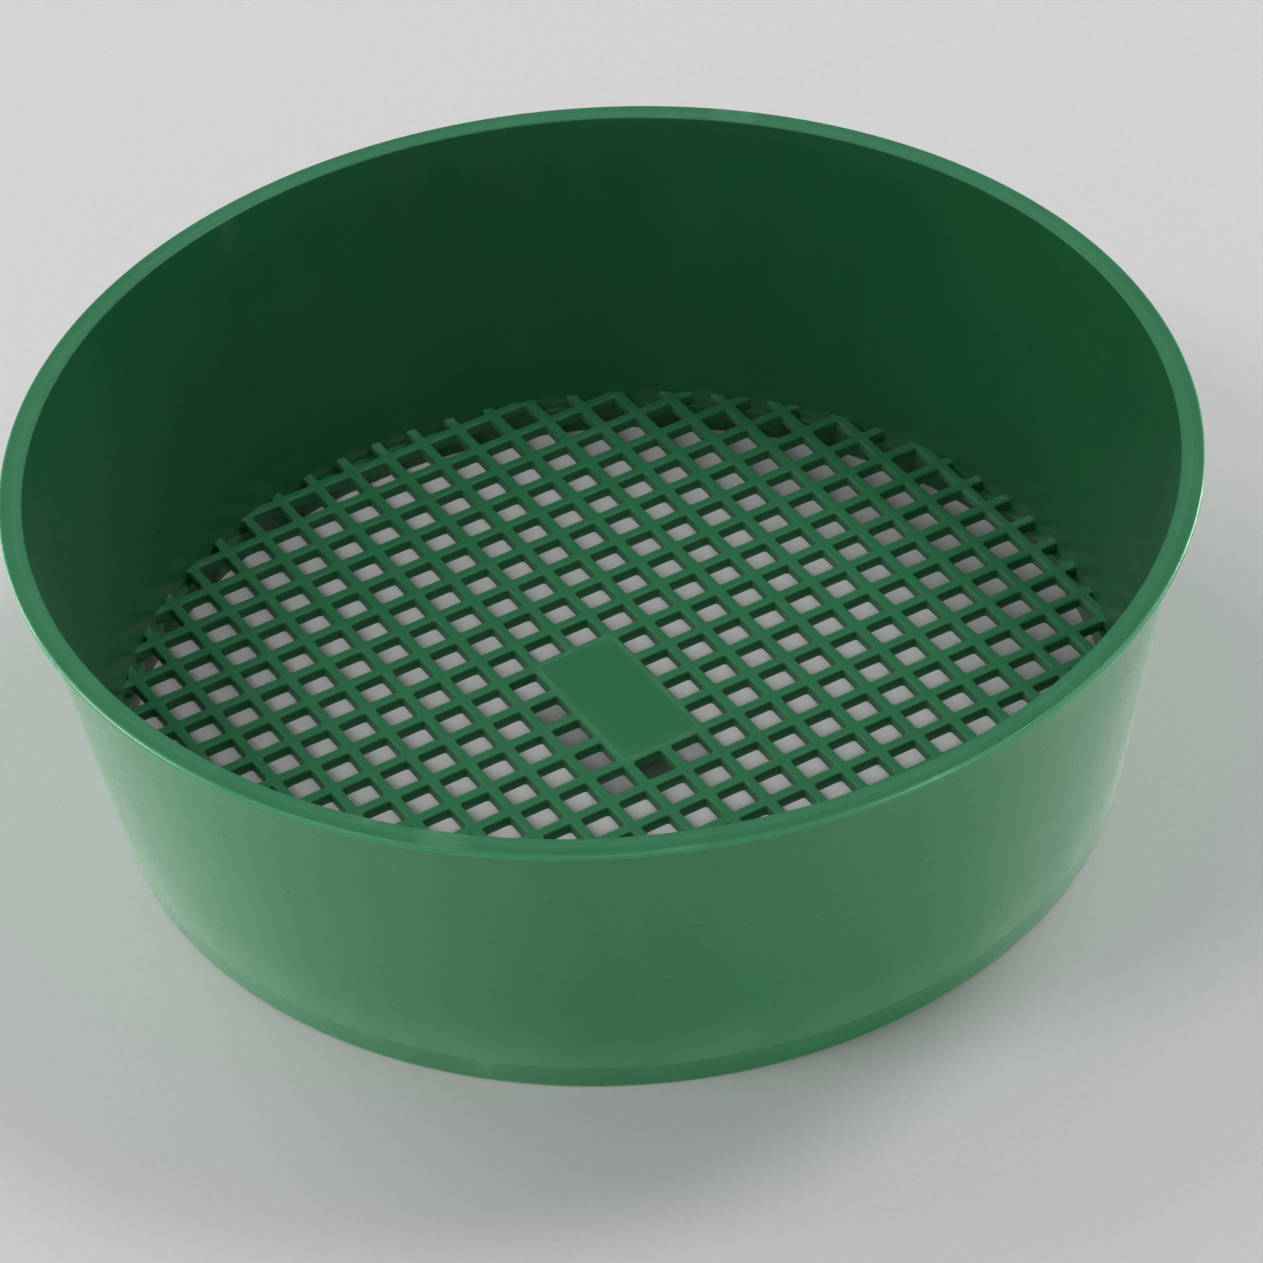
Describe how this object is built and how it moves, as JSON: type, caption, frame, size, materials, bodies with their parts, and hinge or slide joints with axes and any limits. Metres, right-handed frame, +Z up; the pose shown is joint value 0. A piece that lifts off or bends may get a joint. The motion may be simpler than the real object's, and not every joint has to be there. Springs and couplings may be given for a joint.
{
  "type": "soil sieve",
  "caption": "Round garden soil sieve: a shallow tapered tub with a flat lip, a square rib mesh as its floor and a blank plate at the mesh's middle.",
  "frame": {"origin": "on the sieve's axis, in the plane of the foot ring's underside", "axes": "+Z up along the sieve's axis towards the open rim; X and Y along the mesh's ribs, with the centre plate's long side along X"},
  "size_m": [0.21, 0.21, 0.0655],
  "materials": {
    "rim_plastic": "satin green polypropylene, rim face polished smoother by handling",
    "wall_plastic": "satin green polypropylene with a fine moulded texture",
    "mesh_plastic": "satin green polypropylene"
  },
  "bodies": {
    "root": {"rim_lip": "rim_plastic", "side_wall": "wall_plastic", "foot_ring": "wall_plastic", "sieve_mesh": "mesh_plastic", "centre_plate": "mesh_plastic"}
  },
  "joints": []
}
